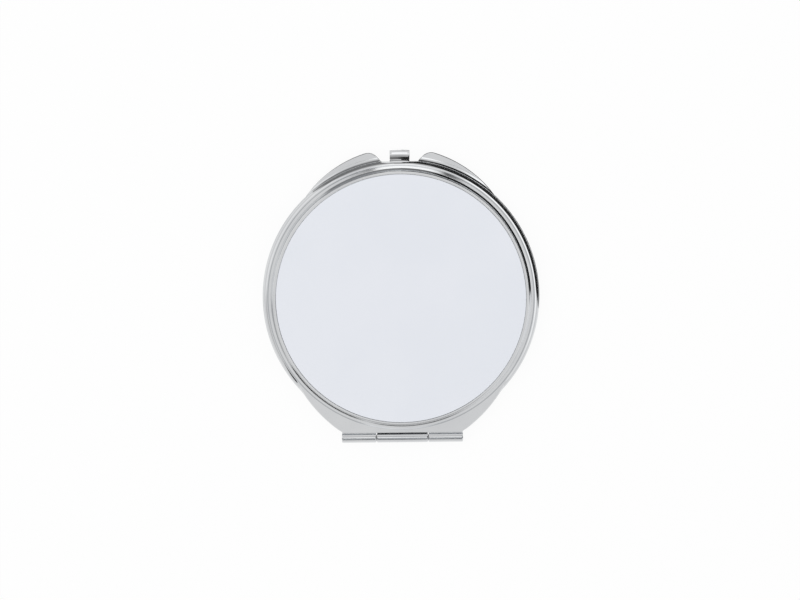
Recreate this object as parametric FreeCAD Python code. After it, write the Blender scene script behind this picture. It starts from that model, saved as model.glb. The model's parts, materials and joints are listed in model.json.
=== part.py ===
"""Round compact mirror: two stamped shells on a rolled hinge, with a spring latch.

Frame: origin under the centre of the round body, on the flat bottom of the base.
+X runs along the hinge, +Y points from the hinge to the latch, +Z is up through the lid.
Each half is drawn with z = 0 on the parting plane and z growing away from it.
"""

import FreeCAD
import Part
import os
from math import cos, hypot, radians, sin, sqrt, tan

from FreeCAD import Vector

# Driving dimensions, in millimetres and degrees
INSERT_DIAMETER = 58.0
INSERT_THICKNESS = 0.45
TAPE_THICKNESS = 0.1
SEAT_GAP = 0.15

HALF_HEIGHT = 3.1
SHEET = 0.4
BASE_RIM_RADIUS = 32.3
BASE_RIM_INSET = 0.0
LID_RIM_INSET = 0.2
FLARE_RADIUS = 32.0
FLARE_CENTRE_X = 4.27
FLARE_CENTRE_Y = -5.4
EAR_RADIUS = 27.15
EAR_CENTRE_Y = 7.7
REAR_FLAT = 31.5
FRONT_FLAT = 31.75
KINK_BLEND = 12.0
REAR_CORNER = 0.6
FRONT_CORNER = 5.0

NOTCH_HALF_WIDTH = 4.2
NOTCH_SIDE_ANGLE = 45.0
EAR_CORNER = 1.3
EAR_EDGE_ROUNDING = 0.12

FLANGE_LEVEL = 1.3
RIM_EDGE_LEVEL = 0.45
EDGE_ROUNDING = 0.75
CREASE_RADIUS = 31.2
FOOT_RADIUS = 30.25
FOOT_RISE = 0.12
WALL_LEAN = 0.2
CREST_ROUNDING = 0.25
LIP_ROUNDING = 0.1

FRAME_THICKNESS = 0.35
FRAME_INSET = 0.05
WINDOW_RADIUS = 27.6
WINDOW_BEVEL = 0.2

MIRROR_RADIUS = 28.4
MIRROR_THICKNESS = 1.2
MAGNIFIER_CURVATURE = 620.0
PAD_RADIUS = 27.8
PAD_RING_INNER = 22.5
PAD_CLEARANCE = 0.03

HINGE_AXIS_Y = -33.25
BARREL_RADIUS = 1.1
BARREL_LENGTH = 28.4
MIDDLE_KNUCKLE = 12.0
KNUCKLE_GAP = 0.1
KNUCKLE_ROUNDING = 0.25
PIN_RADIUS = 0.6
PIN_PLAY = 0.04
PIN_END_ROUNDING = 0.2
LEAF_THICKNESS = 0.4
LEAF_DEPTH = 2.1
LEAF_HALF_WIDTH = 12.9
STRAP_SIDE_INSET = 0.7
SLOT_PLAY = 0.1

LATCH_WIDTH = 4.6
LATCH_STRIP = 0.3
LATCH_LEVEL = 0.65
LATCH_ROOT_LENGTH = 2.6
LATCH_PIVOT_REACH = 0.1
LATCH_FLEX_GAP = 0.05
LATCH_SHOULDER = 0.32
LATCH_DROP = 1.0
LATCH_TURN_IN = 50.0
LATCH_TURN_IN_RADIUS = 0.5
LATCH_NOSE_RUN = 0.35
LATCH_NOSE_RADIUS = 0.3
LATCH_NOSE_EXIT = 50.0
LATCH_CURL_RADIUS = 2.2
LATCH_LIP_ANGLE = 4.0
LATCH_TIP_Y = 34.35

# Values that follow from the driving dimensions
INSERT_RADIUS = INSERT_DIAMETER / 2
SEAT_RADIUS = INSERT_RADIUS + SEAT_GAP
SEAT_LEVEL = HALF_HEIGHT - LIP_ROUNDING / 2 - INSERT_THICKNESS - TAPE_THICKNESS
FLANGE_INSIDE = FLANGE_LEVEL - SHEET
FOOT_LEVEL = FLANGE_LEVEL + FOOT_RISE
WALL_TOP_RADIUS = FOOT_RADIUS - WALL_LEAN
WALL_TOP_LEVEL = HALF_HEIGHT - CREST_ROUNDING
CREST_RADIUS = WALL_TOP_RADIUS - CREST_ROUNDING
FRAME_INSIDE = RIM_EDGE_LEVEL - FRAME_THICKNESS
LEAF_LEVEL = RIM_EDGE_LEVEL + (FLANGE_INSIDE - RIM_EDGE_LEVEL - LEAF_THICKNESS) / 2
REAR_WALL_INSIDE = REAR_FLAT - SHEET
FRONT_WALL_INSIDE = FRONT_FLAT - SHEET
LATCH_PIVOT_Y = FRONT_FLAT + LATCH_PIVOT_REACH

SAME_PLACE = 0.01
CLEAR_OF_FLATS = 1.0
PLAN_DEPTH = 1.0
FULL_TURN = 360.0
UP = Vector(0, 0, 1)
ALONG_HINGE = Vector(1, 0, 0)


def box(x_low, x_high, y_low, y_high, z_low, z_high):
    """A block between two corners."""
    corner = Vector(x_low, y_low, z_low)
    return Part.makeBox(x_high - x_low, y_high - y_low, z_high - z_low, corner)


def disc(radius, z_low, z_high, centre_x=0.0, centre_y=0.0):
    """An upright cylinder between two levels."""
    return Part.makeCylinder(radius, z_high - z_low, Vector(centre_x, centre_y, z_low))


def rod(radius, x_low, x_high):
    """A cylinder along the hinge axis."""
    start = Vector(x_low, HINGE_AXIS_Y, 0)
    return Part.makeCylinder(radius, x_high - x_low, start, ALONG_HINGE)


def turned(edges):
    """The solid that a closed profile of radius and level sweeps round the body's axis."""
    profile = Part.Face(Part.Wire(Part.__sortEdges__(edges)))
    return profile.revolve(Vector(0, 0, 0), UP, FULL_TURN)


def at(radius, level):
    """A point of a turned profile."""
    return Vector(radius, 0, level)


def polyline(points):
    """Straight edges through the points in order."""
    return [Part.makeLine(a, b) for a, b in zip(points, points[1:])]


def corner_edges(prism, y_low, y_high):
    """The vertical edges of a prism whose place along Y lies between two values."""
    found = []
    for edge in prism.Edges:
        low = edge.Vertexes[0].Point
        high = edge.Vertexes[-1].Point
        upright = hypot(high.x - low.x, high.y - low.y) < SAME_PLACE
        if upright and y_low < low.y < y_high:
            found.append(edge)
    return found


def rounded_plan(prism, blends):
    """The floor of a prism after its upright edges are rounded, by radius and place along Y."""
    for radius, y_low, y_high in blends:
        edges = corner_edges(prism, y_low, y_high)
        if edges:
            prism = prism.makeFillet(radius, edges)
    floor = min(prism.Faces, key=lambda face: face.CenterOfMass.z)
    return Part.Face(floor.OuterWire)


def outline(rim_inset, inset=0.0):
    """Plan of a pan: a round rim that flares to the hinge, cut flat at the hinge and the latch.

    The rim inset makes the round parts smaller. The inset draws the whole plan in, so outward
    corners lose it from their radius and inward ones gain it.
    """
    shrink = rim_inset + inset
    rim = BASE_RIM_RADIUS - shrink
    rear = inset - REAR_FLAT
    front = FRONT_FLAT - inset
    far = 2 * rim
    flare = FLARE_RADIUS - shrink
    right = disc(flare, 0, PLAN_DEPTH, -FLARE_CENTRE_X, FLARE_CENTRE_Y)
    left = disc(flare, 0, PLAN_DEPTH, FLARE_CENTRE_X, FLARE_CENTRE_Y)
    body = disc(rim, 0, PLAN_DEPTH).fuse(right.common(left))
    body = body.cut(box(-far, far, front, far, 0, PLAN_DEPTH))
    body = body.cut(box(-far, far, -far, rear, 0, PLAN_DEPTH)).removeSplitter()
    return rounded_plan(body, [
        (KINK_BLEND + inset, rear + CLEAR_OF_FLATS, 0),
        (REAR_CORNER - inset, rear - SAME_PLACE, rear + SAME_PLACE),
        (FRONT_CORNER - inset, front - SAME_PLACE, front + SAME_PLACE),
    ])


def ear_plan():
    """Plan of the two ears: a circle that passes the rim at the front, with a gap for the latch.

    The gap runs on in past the rim's rounding, so the rounding stays bare behind the latch.
    """
    slope = tan(radians(NOTCH_SIDE_ANGLE))
    reach = BASE_RIM_RADIUS
    floor = FRONT_FLAT - EDGE_ROUNDING
    narrow = NOTCH_HALF_WIDTH - EDGE_ROUNDING * slope
    wide = NOTCH_HALF_WIDTH + reach * slope
    corners = [
        Vector(-narrow, floor, 0),
        Vector(narrow, floor, 0),
        Vector(wide, FRONT_FLAT + reach, 0),
        Vector(-wide, FRONT_FLAT + reach, 0),
    ]
    gap = Part.Face(Part.makePolygon(corners + corners[:1])).extrude(Vector(0, 0, PLAN_DEPTH))
    body = disc(EAR_RADIUS, 0, PLAN_DEPTH, 0, EAR_CENTRE_Y).cut(gap)
    return rounded_plan(body, [(EAR_CORNER, FRONT_FLAT, 2 * reach)])


def plate(plan, z_low, z_high):
    """A flat plate of a plan between two levels."""
    sheet = plan.copy()
    sheet.translate(Vector(0, 0, z_low))
    return sheet.extrude(Vector(0, 0, z_high - z_low))


def top_rounded(prism, radius):
    """A prism with the whole edge of its top face rounded."""
    top = max(prism.Faces, key=lambda face: face.CenterOfMass.z)
    return prism.makeFillet(radius, top.OuterWire.Edges)


def arc_edge(centre, radius, start_angle, end_angle):
    """An arc of a turned profile, by its centre (radius, level) and two angles in degrees."""
    def place(angle):
        turn = radians(angle)
        return at(centre[0] + radius * cos(turn), centre[1] + radius * sin(turn))
    middle = (start_angle + end_angle) / 2
    return Part.Arc(place(start_angle), place(middle), place(end_angle)).toShape()


def drum_outside(flat_top):
    """The raised drum with its sloped shoulder; the lid's crest turns over into the seat."""
    crest = arc_edge((CREST_RADIUS, WALL_TOP_LEVEL), CREST_ROUNDING, 0, 90)
    edges = polyline([
        at(0, FLANGE_INSIDE),
        at(CREASE_RADIUS, FLANGE_INSIDE),
        at(CREASE_RADIUS, FLANGE_LEVEL),
        at(FOOT_RADIUS, FOOT_LEVEL),
        at(WALL_TOP_RADIUS, WALL_TOP_LEVEL),
    ])
    edges.append(crest)
    if flat_top:
        edges += polyline([at(CREST_RADIUS, HALF_HEIGHT), at(0, HALF_HEIGHT), at(0, FLANGE_INSIDE)])
        return turned(edges)
    lip_centre = (SEAT_RADIUS + LIP_ROUNDING, HALF_HEIGHT - LIP_ROUNDING)
    edges += polyline([at(CREST_RADIUS, HALF_HEIGHT), at(lip_centre[0], HALF_HEIGHT)])
    edges.append(arc_edge(lip_centre, LIP_ROUNDING, 90, 180))
    edges += polyline([
        at(SEAT_RADIUS, lip_centre[1]),
        at(SEAT_RADIUS, SEAT_LEVEL),
        at(0, SEAT_LEVEL),
        at(0, FLANGE_INSIDE),
    ])
    return turned(edges)


def drum_inside(ceiling):
    """The hollow of the drum, one sheet thickness inside it."""
    lean = WALL_LEAN / (WALL_TOP_LEVEL - FOOT_LEVEL)
    wall_top = FOOT_RADIUS - SHEET - lean * (ceiling - FOOT_LEVEL)
    edges = polyline([
        at(0, RIM_EDGE_LEVEL),
        at(CREASE_RADIUS - SHEET, RIM_EDGE_LEVEL),
        at(CREASE_RADIUS - SHEET, FLANGE_INSIDE),
        at(FOOT_RADIUS - SHEET, FOOT_LEVEL - SHEET),
        at(wall_top, ceiling),
        at(0, ceiling),
        at(0, RIM_EDGE_LEVEL),
    ])
    return turned(edges)


def shell(rim_inset, flat_top):
    """A stamped pan: rounded flange, sloped shoulder and drum, all one sheet thick."""
    flange = top_rounded(plate(outline(rim_inset), RIM_EDGE_LEVEL, FLANGE_LEVEL), EDGE_ROUNDING)
    ceiling = (HALF_HEIGHT if flat_top else SEAT_LEVEL) - SHEET
    hollow = plate(outline(rim_inset, SHEET), RIM_EDGE_LEVEL, FLANGE_INSIDE)
    outside = flange.fuse(drum_outside(flat_top))
    return outside.cut(hollow.fuse(drum_inside(ceiling))).removeSplitter()


def ears():
    """The base's two thumb tabs, which carry its flange on past the rim."""
    tab = plate(ear_plan(), FLANGE_INSIDE, FLANGE_LEVEL)
    for side in (UP, -UP):
        face = max(tab.Faces, key=lambda candidate: candidate.CenterOfMass.dot(side))
        tab = tab.makeFillet(EAR_EDGE_ROUNDING, face.OuterWire.Edges)
    inner = disc(CREASE_RADIUS, FLANGE_INSIDE, FLANGE_LEVEL)
    rear = box(-EAR_RADIUS, EAR_RADIUS, -EAR_RADIUS, EAR_CENTRE_Y, FLANGE_INSIDE, FLANGE_LEVEL)
    return tab.cut(inner.fuse(rear))


def rim_slot(half_width, middle_x, y_low, y_high):
    """The open notch in a rim's edge that a strap or the latch passes through."""
    reach = half_width + SLOT_PLAY
    return box(middle_x - reach, middle_x + reach, y_low, y_high, RIM_EDGE_LEVEL, FLANGE_INSIDE)


def strap_span(knuckle):
    """Middle and half width of the strap that carries a knuckle."""
    low, high = knuckle
    return (low + high) / 2, (high - low) / 2 - STRAP_SIDE_INSET


def lid_knuckles():
    """The X spans of the lid's two outer knuckles."""
    inner = MIDDLE_KNUCKLE / 2 + KNUCKLE_GAP
    outer = BARREL_LENGTH / 2
    return [(-outer, -inner), (inner, outer)]


def base_knuckles():
    """The X span of the base's middle knuckle."""
    return [(-MIDDLE_KNUCKLE / 2, MIDDLE_KNUCKLE / 2)]


def slotted(pan, knuckles):
    """A pan with a slot in its rear rim for each hinge strap."""
    for knuckle in knuckles:
        middle, half = strap_span(knuckle)
        pan = pan.cut(rim_slot(half, middle, -REAR_FLAT - SHEET, -REAR_WALL_INSIDE + SHEET))
    return pan


def frame(rim_inset):
    """The plate that closes a half and holds its mirror, with a bevelled round window."""
    sheet = plate(outline(rim_inset, FRAME_INSET), FRAME_INSIDE, RIM_EDGE_LEVEL)
    window = disc(WINDOW_RADIUS, FRAME_INSIDE, RIM_EDGE_LEVEL)
    bevel = Part.makeCone(
        WINDOW_RADIUS + WINDOW_BEVEL,
        WINDOW_RADIUS,
        WINDOW_BEVEL,
        Vector(0, 0, FRAME_INSIDE),
    )
    return sheet.cut(window.fuse(bevel))


def hinge_leaf(knuckles, bore_radius):
    """A leaf trapped in the rim, with straps that carry its rolled knuckles."""
    inner_edge = -REAR_WALL_INSIDE + LEAF_DEPTH
    outer_edge = -REAR_WALL_INSIDE + FRAME_INSET
    top = LEAF_LEVEL + LEAF_THICKNESS
    leaf = box(-LEAF_HALF_WIDTH, LEAF_HALF_WIDTH, outer_edge, inner_edge, LEAF_LEVEL, top)
    for low, high in knuckles:
        barrel = rod(BARREL_RADIUS, low, high)
        ends = [edge for edge in barrel.Edges if edge.Closed]
        barrel = barrel.makeFillet(KNUCKLE_ROUNDING, ends)
        middle, half = strap_span((low, high))
        strap = box(middle - half, middle + half, HINGE_AXIS_Y, outer_edge, LEAF_LEVEL, top)
        leaf = leaf.fuse(barrel).fuse(strap)
    for low, high in knuckles:
        leaf = leaf.cut(rod(bore_radius, low, high))
    return leaf.removeSplitter()


def hinge_pin():
    """The pin through the three knuckles, rounded at both ends."""
    half = BARREL_LENGTH / 2
    pin = rod(PIN_RADIUS, -half, half)
    ends = [edge for edge in pin.Edges if edge.Closed]
    return pin.makeFillet(PIN_END_ROUNDING, ends)


def insert_disc():
    """The printable disc, with a softened top edge."""
    low = SEAT_LEVEL + TAPE_THICKNESS
    body = disc(INSERT_RADIUS, low, low + INSERT_THICKNESS)
    return top_rounded(body, LIP_ROUNDING)


def insert_tape():
    """The adhesive film between the seat and the disc."""
    return disc(INSERT_RADIUS - SEAT_GAP, SEAT_LEVEL, SEAT_LEVEL + TAPE_THICKNESS)


def flat_mirror():
    """The plain mirror behind the lid's frame."""
    return disc(MIRROR_RADIUS, RIM_EDGE_LEVEL, RIM_EDGE_LEVEL + MIRROR_THICKNESS)


def flat_mirror_pad():
    """The adhesive foam between the lid and its mirror."""
    return disc(PAD_RADIUS, RIM_EDGE_LEVEL + MIRROR_THICKNESS, SEAT_LEVEL - SHEET)


def bowl_rise(radius):
    """How far the magnifying mirror dips at a radius, measured from its edge."""
    edge = MAGNIFIER_CURVATURE - sqrt(MAGNIFIER_CURVATURE ** 2 - MIRROR_RADIUS ** 2)
    here = MAGNIFIER_CURVATURE - sqrt(MAGNIFIER_CURVATURE ** 2 - radius ** 2)
    return edge - here


def bowl_edge(level):
    """The arc of a mirror face from the middle to the edge, dipping away from the frame."""
    half = MIRROR_RADIUS / 2
    return Part.Arc(
        at(0, level + bowl_rise(0)),
        at(half, level + bowl_rise(half)),
        at(MIRROR_RADIUS, level),
    ).toShape()


def magnifying_mirror():
    """The concave mirror behind the base's frame."""
    front = RIM_EDGE_LEVEL
    back = front + MIRROR_THICKNESS
    edges = [bowl_edge(front), bowl_edge(back)]
    edges += polyline([at(0, front + bowl_rise(0)), at(0, back + bowl_rise(0))])
    edges += polyline([at(MIRROR_RADIUS, front), at(MIRROR_RADIUS, back)])
    return turned(edges)


def magnifying_mirror_pad():
    """The foam ring that carries the concave mirror near its edge."""
    low = RIM_EDGE_LEVEL + MIRROR_THICKNESS + bowl_rise(PAD_RING_INNER) + PAD_CLEARANCE
    high = HALF_HEIGHT - SHEET
    return disc(PAD_RADIUS, low, high).cut(disc(PAD_RING_INNER, low, high))


class BentStrip:
    """Side view of a bent strip in the YZ plane, drawn along its middle by runs and turns."""

    def __init__(self, y, z, thickness):
        self.y = y
        self.z = z
        self.half = thickness / 2
        self.heading = 0.0
        self.left = []
        self.right = []

    def beside(self, offset):
        """The point beside the strip's present end, to the left of its direction."""
        normal = radians(self.heading + 90)
        return Vector(0, self.y + offset * cos(normal), self.z + offset * sin(normal))

    def run(self, length):
        """A straight run in the present direction."""
        starts = self.beside(self.half), self.beside(-self.half)
        self.y += length * cos(radians(self.heading))
        self.z += length * sin(radians(self.heading))
        self.left.append(Part.makeLine(starts[0], self.beside(self.half)))
        self.right.append(Part.makeLine(starts[1], self.beside(-self.half)))

    def turn(self, angle, radius):
        """A tangent bend; a positive angle turns from +Y towards +Z."""
        side = 1 if angle > 0 else -1
        centre = self.beside(side * radius)

        def place(share, offset):
            swing = radians(self.heading + share * angle - side * 90)
            reach = radius - side * offset
            return Vector(0, centre.y + reach * cos(swing), centre.z + reach * sin(swing))

        for edges, offset in ((self.left, self.half), (self.right, -self.half)):
            stops = [place(share, offset) for share in (0.0, 0.5, 1.0)]
            edges.append(Part.Arc(*stops).toShape())
        end = place(1.0, 0.0)
        self.y = end.y
        self.z = end.z
        self.heading += angle

    def face(self):
        """The strip's side, square where it starts and round at its tip."""
        first_left = self.left[0].Vertexes[0].Point
        first_right = self.right[0].Vertexes[0].Point
        ahead = radians(self.heading)
        tip = Vector(0, self.y + self.half * cos(ahead), self.z + self.half * sin(ahead))
        cap = Part.Arc(self.beside(self.half), tip, self.beside(-self.half)).toShape()
        edges = self.left + [cap] + self.right + [Part.makeLine(first_left, first_right)]
        return Part.Face(Part.Wire(Part.__sortEdges__(edges)))


def latch_tongue():
    """The spring strip outside the lid: down past both rims, in under the base's, out to a lip."""
    strip = BentStrip(LATCH_PIVOT_Y, LATCH_LEVEL, LATCH_STRIP)
    strip.turn(-90, LATCH_SHOULDER)
    strip.run(LATCH_DROP)
    strip.turn(-LATCH_TURN_IN, LATCH_TURN_IN_RADIUS)
    strip.run(LATCH_NOSE_RUN)
    strip.turn(90 + LATCH_TURN_IN - LATCH_NOSE_EXIT, LATCH_NOSE_RADIUS)
    strip.turn(LATCH_NOSE_EXIT + LATCH_LIP_ANGLE, LATCH_CURL_RADIUS)
    lip_reach = LATCH_TIP_Y - strip.half - strip.y
    strip.run(lip_reach / cos(radians(LATCH_LIP_ANGLE)))
    side = strip.face()
    side.translate(Vector(-LATCH_WIDTH / 2, 0, 0))
    return side.extrude(Vector(LATCH_WIDTH, 0, 0))


def latch_root():
    """The fixed end of the spring strip, which passes through the lid's front rim."""
    half_width = LATCH_WIDTH / 2
    half_strip = LATCH_STRIP / 2
    outer = LATCH_PIVOT_Y - LATCH_FLEX_GAP
    inner = FRONT_WALL_INSIDE - LATCH_ROOT_LENGTH
    low = LATCH_LEVEL - half_strip
    return box(-half_width, half_width, inner, outer, low, low + LATCH_STRIP)


def lid_pieces():
    """The lid's pieces by node name, in the half's own frame."""
    latch_half = LATCH_WIDTH / 2
    front_slot = rim_slot(latch_half, 0, FRONT_WALL_INSIDE - SHEET, FRONT_FLAT + SHEET)
    pan = shell(LID_RIM_INSET, flat_top=False)
    return {
        "lid_shell": slotted(pan, lid_knuckles()).cut(front_slot),
        "insert_disc": insert_disc(),
        "insert_tape": insert_tape(),
        "lid_mirror_frame": frame(LID_RIM_INSET),
        "lid_mirror": flat_mirror(),
        "lid_mirror_pad": flat_mirror_pad(),
        "lid_hinge_leaf": hinge_leaf(lid_knuckles(), PIN_RADIUS),
        "hinge_pin": hinge_pin(),
        "latch_root": latch_root(),
        "latch_tongue": latch_tongue(),
    }


def base_pieces():
    """The base's pieces by node name, in the half's own frame."""
    pan = shell(BASE_RIM_INSET, flat_top=True).fuse(ears()).removeSplitter()
    return {
        "base_shell": slotted(pan, base_knuckles()),
        "base_mirror_frame": frame(BASE_RIM_INSET),
        "base_mirror": magnifying_mirror(),
        "base_mirror_pad": magnifying_mirror_pad(),
        "base_hinge_leaf": hinge_leaf(base_knuckles(), PIN_RADIUS + PIN_PLAY),
    }


def assembled():
    """All pieces at rest: the base turned over below the parting plane, the lid above it."""
    parting = Vector(0, 0, HALF_HEIGHT)
    placed = {}
    for name, solid in base_pieces().items():
        turned_over = solid.mirror(Vector(0, 0, 0), UP)
        placed[name] = turned_over.translated(parting)
    for name, solid in lid_pieces().items():
        placed[name] = solid.translated(parting)
    return placed


def main():
    """Write one STEP file per piece and print its volume."""
    os.makedirs("parts", exist_ok=True)
    for name, solid in assembled().items():
        count = len(solid.Solids)
        print(f"{name}: {solid.Volume:.2f} mm3, solids {count}, valid {solid.isValid()}")
        solid.exportStep(f"parts/{name}.step")


main()
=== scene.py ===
"""Round compact mirror: chromed pans on a rolled hinge, a spring latch, two mirrors and a white insert.

The meshes are drawn in millimetres, each half with z = 0 on the parting plane and z growing away from it.
They are scaled to metres when they become pieces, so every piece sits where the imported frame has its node.
"""

import json
import logging
import math
from dataclasses import dataclass
from enum import Enum
from typing import Iterable, Optional, Sequence, Union

import bmesh
import bpy
from mathutils import Matrix, Vector


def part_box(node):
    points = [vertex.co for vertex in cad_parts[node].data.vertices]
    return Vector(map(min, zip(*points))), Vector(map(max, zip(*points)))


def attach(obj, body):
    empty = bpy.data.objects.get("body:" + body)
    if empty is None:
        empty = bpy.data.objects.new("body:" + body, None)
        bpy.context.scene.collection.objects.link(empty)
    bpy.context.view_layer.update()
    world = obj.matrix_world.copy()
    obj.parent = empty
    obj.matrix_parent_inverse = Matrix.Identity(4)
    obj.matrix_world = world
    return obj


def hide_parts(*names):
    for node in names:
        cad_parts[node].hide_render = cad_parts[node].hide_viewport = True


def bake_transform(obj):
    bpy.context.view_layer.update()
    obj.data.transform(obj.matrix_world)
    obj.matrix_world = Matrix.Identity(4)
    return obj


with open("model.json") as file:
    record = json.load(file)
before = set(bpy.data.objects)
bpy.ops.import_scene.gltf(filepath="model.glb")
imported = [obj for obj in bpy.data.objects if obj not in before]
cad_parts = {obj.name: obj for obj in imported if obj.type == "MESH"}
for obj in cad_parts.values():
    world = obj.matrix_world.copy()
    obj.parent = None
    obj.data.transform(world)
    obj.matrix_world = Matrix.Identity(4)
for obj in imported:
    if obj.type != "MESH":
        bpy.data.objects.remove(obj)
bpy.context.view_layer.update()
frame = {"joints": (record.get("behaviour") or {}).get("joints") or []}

log = logging.getLogger("compact")

MM = 0.001
WELD = 2e-4
RING_REACH = 0.005
LOFT_GAP = 2.0
SHARP_ANGLE = math.radians(38.0)


class Body(Enum):
    """The moving bodies of the compact."""

    BASE = "base"
    LID = "lid"
    LATCH = "latch"


class Plane(Enum):
    """The plane that a pen draws in, by its normal."""

    PLAN = (0.0, 0.0, 1.0)
    SECTION = (0.0, -1.0, 0.0)
    SIDE = (1.0, 0.0, 0.0)

    @property
    def normal(self) -> Vector:
        """The plane's normal as a vector."""
        return Vector(self.value)

    def point(self, across: float, up: float) -> Vector:
        """A point of the plane from its two drawing coordinates.

        Args:
            across: the first coordinate.
            up: the second coordinate.

        Returns:
            The point.
        """
        if self is Plane.PLAN:
            return Vector((across, up, 0.0))
        if self is Plane.SECTION:
            return Vector((across, 0.0, up))
        return Vector((0.0, across, up))


def joint_position(name: str) -> Vector:
    """Where a joint of the frame sits, in millimetres.

    Args:
        name: the joint's name.

    Returns:
        The joint's position.
    """
    joint = next(entry for entry in frame["joints"] if entry["name"] == name)
    return Vector(joint["pos_m"]) / MM


def node_box(name: str) -> tuple[Vector, Vector]:
    """The lowest and highest corner of a node of the frame, in millimetres.

    Args:
        name: the node's name.

    Returns:
        The two corners.
    """
    low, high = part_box(name)
    return low / MM, high / MM


class Sock:
    """A value socket that takes part in Python arithmetic: each operator adds a Math node."""

    def __init__(self, graph: "Graph", socket: bpy.types.NodeSocket) -> None:
        """Wraps a socket of a graph."""
        self.graph = graph
        self.socket = socket

    def math(self, operation: str, *others: "Value") -> "Sock":
        """A Math node fed by this socket and other values.

        Args:
            operation: the Math node's operation.
            others: the node's further inputs.

        Returns:
            The node's result.
        """
        inputs = {index: value for index, value in enumerate((self, *others))}
        return self.graph.node("ShaderNodeMath", {"operation": operation}, inputs)

    def __add__(self, other: "Value") -> "Sock":
        """The sum of this value and another."""
        return self.math("ADD", other)

    __radd__ = __add__

    def __mul__(self, other: "Value") -> "Sock":
        """The product of this value and another."""
        return self.math("MULTIPLY", other)

    __rmul__ = __mul__

    def __sub__(self, other: "Value") -> "Sock":
        """This value less another."""
        return self.math("SUBTRACT", other)

    def __rsub__(self, other: float) -> "Sock":
        """A number less this value."""
        return self.math("MULTIPLY_ADD", -1.0, other)

    def step(self, low: float, high: float) -> "Sock":
        """A smooth step of this value.

        Args:
            low: where it leaves 0.
            high: where it reaches 1.

        Returns:
            The step.
        """
        settings = {"interpolation_type": "SMOOTHSTEP"}
        inputs = {"Value": self, "From Min": low, "From Max": high}
        return self.graph.node("ShaderNodeMapRange", settings, inputs)


Value = Union[Sock, float]
Triple = tuple[float, float, float]
Colour = Triple
SOCKETS = {
    "colour": "Base Color",
    "metal": "Metallic",
    "roughness": "Roughness",
    "specular": "Specular IOR Level",
    "normal": "Normal",
}


class Graph:
    """A node tree under construction."""

    def __init__(self, tree: bpy.types.NodeTree) -> None:
        """Starts with an empty tree."""
        self.tree = tree
        tree.nodes.clear()

    def node(
        self,
        kind: str,
        settings: Optional[dict] = None,
        inputs: Optional[dict] = None,
        output: Union[str, int] = 0,
    ) -> Sock:
        """Adds a node, sets it and feeds it.

        Args:
            kind: the node's type.
            settings: attributes of the node, set first.
            inputs: values or sockets by input name or number.
            output: the output to return, by name or number.

        Returns:
            The output as a socket.
        """
        made = self.tree.nodes.new(kind)
        for name, value in (settings or {}).items():
            setattr(made, name, value)
        for name, value in (inputs or {}).items():
            if isinstance(value, Sock):
                self.tree.links.new(value.socket, made.inputs[name])
            else:
                made.inputs[name].default_value = value
        return Sock(self, made.outputs[output]) if len(made.outputs) else Sock(self, made.inputs[0])

    def coordinates(self) -> Sock:
        """Object coordinates of the surface, in metres."""
        return self.node("ShaderNodeTexCoord", output="Object")

    def stretched(self, scale: Triple) -> Sock:
        """Object coordinates with their own scale along each axis."""
        return self.node("ShaderNodeMapping", None, {"Vector": self.coordinates(), "Scale": scale})

    def noise(self, vector: Sock, scale: float, detail: float = 2.0) -> Sock:
        """A noise value from 0 to 1.

        Args:
            vector: the coordinates it reads.
            scale: its frequency per metre.
            detail: its octaves.

        Returns:
            The noise.
        """
        return self.node("ShaderNodeTexNoise", None, {"Vector": vector, "Scale": scale, "Detail": detail})

    def blend(self, factor: Sock, first: Colour, second: Colour) -> Sock:
        """A colour between two, by a factor.

        Args:
            factor: the share of the second colour.
            first: the colour at 0.
            second: the colour at 1.

        Returns:
            The mixed colour.
        """
        settings = {"data_type": "RGBA"}
        inputs = {"Factor": factor, 6: (*first, 1.0), 7: (*second, 1.0)}
        return self.node("ShaderNodeMix", settings, inputs, output=2)

    def vector(
        self, operation: str, first: Sock, second: Optional[Triple] = None, output: Union[str, int] = 0,
    ) -> Sock:
        """A Vector Math node.

        Args:
            operation: the node's operation.
            first: its first input.
            second: its second input, if it has one.
            output: the output to return.

        Returns:
            The result.
        """
        inputs = {0: first} if second is None else {0: first, 1: second}
        return self.node("ShaderNodeVectorMath", {"operation": operation}, inputs, output)

    def bump(self, height: Sock, depth: float, strength: float) -> Sock:
        """A normal shaken by a height.

        Args:
            height: the height, from 0 to 1.
            depth: what a height of 1 stands for, in metres.
            strength: the bump's share.

        Returns:
            The normal.
        """
        inputs = {"Height": height, "Distance": depth, "Strength": strength}
        return self.node("ShaderNodeBump", None, inputs)

    def ray(self, kind: str) -> Sock:
        """Whether the ray that meets the surface is of a kind, such as Camera or Glossy."""
        return self.node("ShaderNodeLightPath", output=f"Is {kind} Ray")

    def principled(self, **inputs: Value) -> None:
        """Ends the tree in a Principled surface.

        Args:
            inputs: values or sockets by their short names.
        """
        named = {SOCKETS[name]: value for name, value in inputs.items()}
        self.surface(self.node("ShaderNodeBsdfPrincipled", None, named))

    def surface(self, shader: Sock) -> None:
        """Ends the tree in a material's surface."""
        self.node("ShaderNodeOutputMaterial", None, {"Surface": shader})


def shade(name: str) -> tuple[bpy.types.Material, Graph]:
    """A new material with an empty node tree.

    Args:
        name: the material's name.

    Returns:
        The material and its graph.
    """
    material = bpy.data.materials.new(name)
    material.use_nodes = True
    return material, Graph(material.node_tree)


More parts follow.
